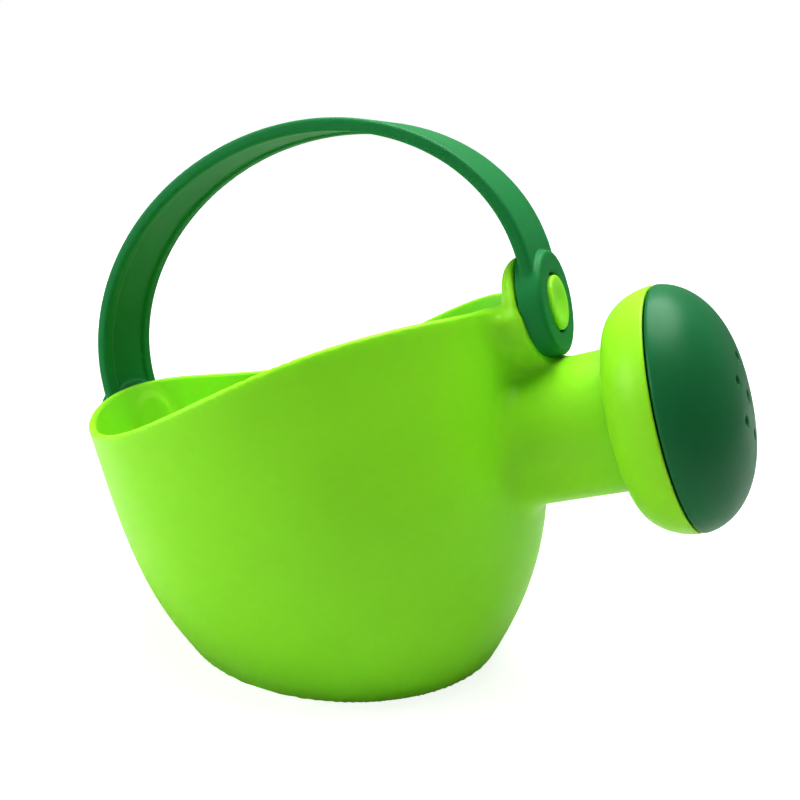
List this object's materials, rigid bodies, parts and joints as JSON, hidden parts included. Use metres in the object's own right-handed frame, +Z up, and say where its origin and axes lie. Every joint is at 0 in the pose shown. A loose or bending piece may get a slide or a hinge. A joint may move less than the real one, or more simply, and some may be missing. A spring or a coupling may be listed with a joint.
{
  "type": "watering can",
  "caption": "Child's moulded watering can: leaning bowl with a wavy rim, short neck with a domed sprinkler head, and a strap handle that swings on two pins.",
  "frame": {"origin": "in the flat base, below the middle of the bowl", "axes": "+X towards the sprinkler head, +Z up, +Y to the left of someone who pours"},
  "size_m": [0.2222, 0.1452, 0.1667],
  "materials": {
    "lime_plastic": "satin moulded, lime green",
    "green_plastic": "satin moulded, dark green",
    "handle_plastic": "satin moulded, dark green"
  },
  "bodies": {
    "can": {"can_body": "lime_plastic", "rose_housing": "lime_plastic", "rose_face": "green_plastic", "front_pivot_button": "lime_plastic", "rear_pivot_button": "lime_plastic"},
    "handle": {"handle": "handle_plastic"}
  },
  "joints": [
    {"name": "handle_swing", "type": "hinge", "parent": "can", "child": "handle", "pos_m": [-0.01336, 0, 0.08657], "axis": [0.9245, 0, 0.3811], "range_deg": [-80, 80]}
  ]
}
